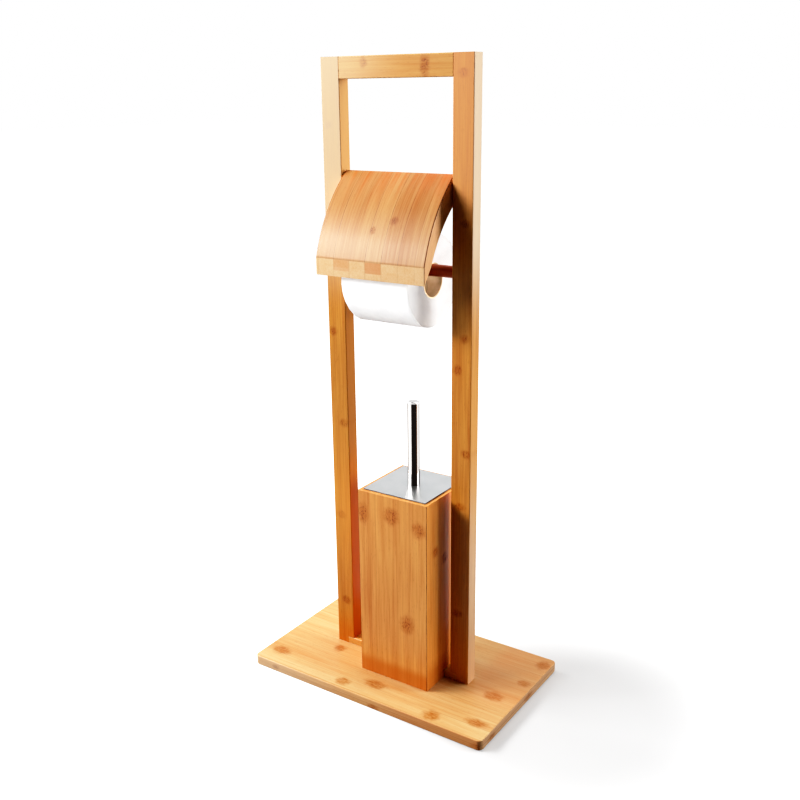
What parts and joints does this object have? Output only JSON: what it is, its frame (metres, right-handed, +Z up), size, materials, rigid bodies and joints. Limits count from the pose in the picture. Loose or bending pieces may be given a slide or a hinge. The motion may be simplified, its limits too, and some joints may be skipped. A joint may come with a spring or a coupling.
{
  "type": "toilet roll and brush stand",
  "caption": "Free-standing bamboo stand with a carrying frame, a hinged curved cover over a toilet roll on a rod, and a square box that holds a toilet brush.",
  "frame": {"origin": "middle of the footprint, on the floor", "axes": "+X to the right along the frame, +Y to the back, +Z up"},
  "size_m": [0.368, 0.216, 0.82],
  "materials": {
    "bamboo": "satin lacquer",
    "bamboo_board": "satin lacquer",
    "bamboo_rod": "satin lacquer",
    "dowel": "plain",
    "satin_steel": "satin",
    "polished_steel": "polished",
    "screw_steel": "zinc plated",
    "paper": "soft embossed tissue",
    "cardboard": "plain kraft board",
    "foam": "matte",
    "white_plastic": "satin",
    "bristle": "nylon strands"
  },
  "bodies": {
    "stand": {"base_board": "bamboo_board", "base_pads": "foam", "left_post": "bamboo", "right_post": "bamboo", "top_rail": "bamboo", "foot_rail": "bamboo", "top_rail_dowels": "dowel", "post_screws": "screw_steel", "foot_rail_screws": "screw_steel"},
    "cover": {"cover_panel": "bamboo_board", "hinge_pins": "screw_steel"},
    "rod": {"roll_rod": "bamboo_rod"},
    "roll": {"paper_roll": "paper", "cardboard_core": "cardboard"},
    "brush_box": {"box_front_panel": "bamboo", "box_back_panel": "bamboo", "box_left_panel": "bamboo", "box_right_panel": "bamboo", "box_floor_panel": "bamboo_board"},
    "liner": {"liner_cup": "white_plastic"},
    "brush": {"lid_plate": "satin_steel", "handle_tube": "polished_steel", "handle_cap": "polished_steel", "handle_plug": "screw_steel", "plate_stud": "screw_steel", "brush_stick": "white_plastic", "brush_head": "white_plastic", "bristles": "bristle"}
  },
  "joints": [
    {"name": "cover_hinge", "type": "hinge", "parent": "stand", "child": "cover", "pos_m": [0, 0, 0.67278], "axis": [-1, 0, 0], "range_deg": [0, 139]},
    {"name": "rod_slide", "type": "slide", "parent": "stand", "child": "rod", "axis": [-1, 0, 0], "range_m": [0, 0.0095]},
    {"name": "roll_spin", "type": "hinge", "parent": "rod", "child": "roll", "pos_m": [0, 0, 0.5576], "axis": [1, 0, 0], "continuous": true},
    {"name": "box_slide", "type": "slide", "parent": "stand", "child": "brush_box", "axis": [1, 0, 0], "range_m": [-0.045, 0.009]},
    {"name": "liner_lift", "type": "slide", "parent": "brush_box", "child": "liner", "axis": [0, 0, 1], "range_m": [0, 0.035]},
    {"name": "brush_lift", "type": "slide", "parent": "liner", "child": "brush", "axis": [0, 0, 1], "range_m": [0, 0.06]}
  ]
}
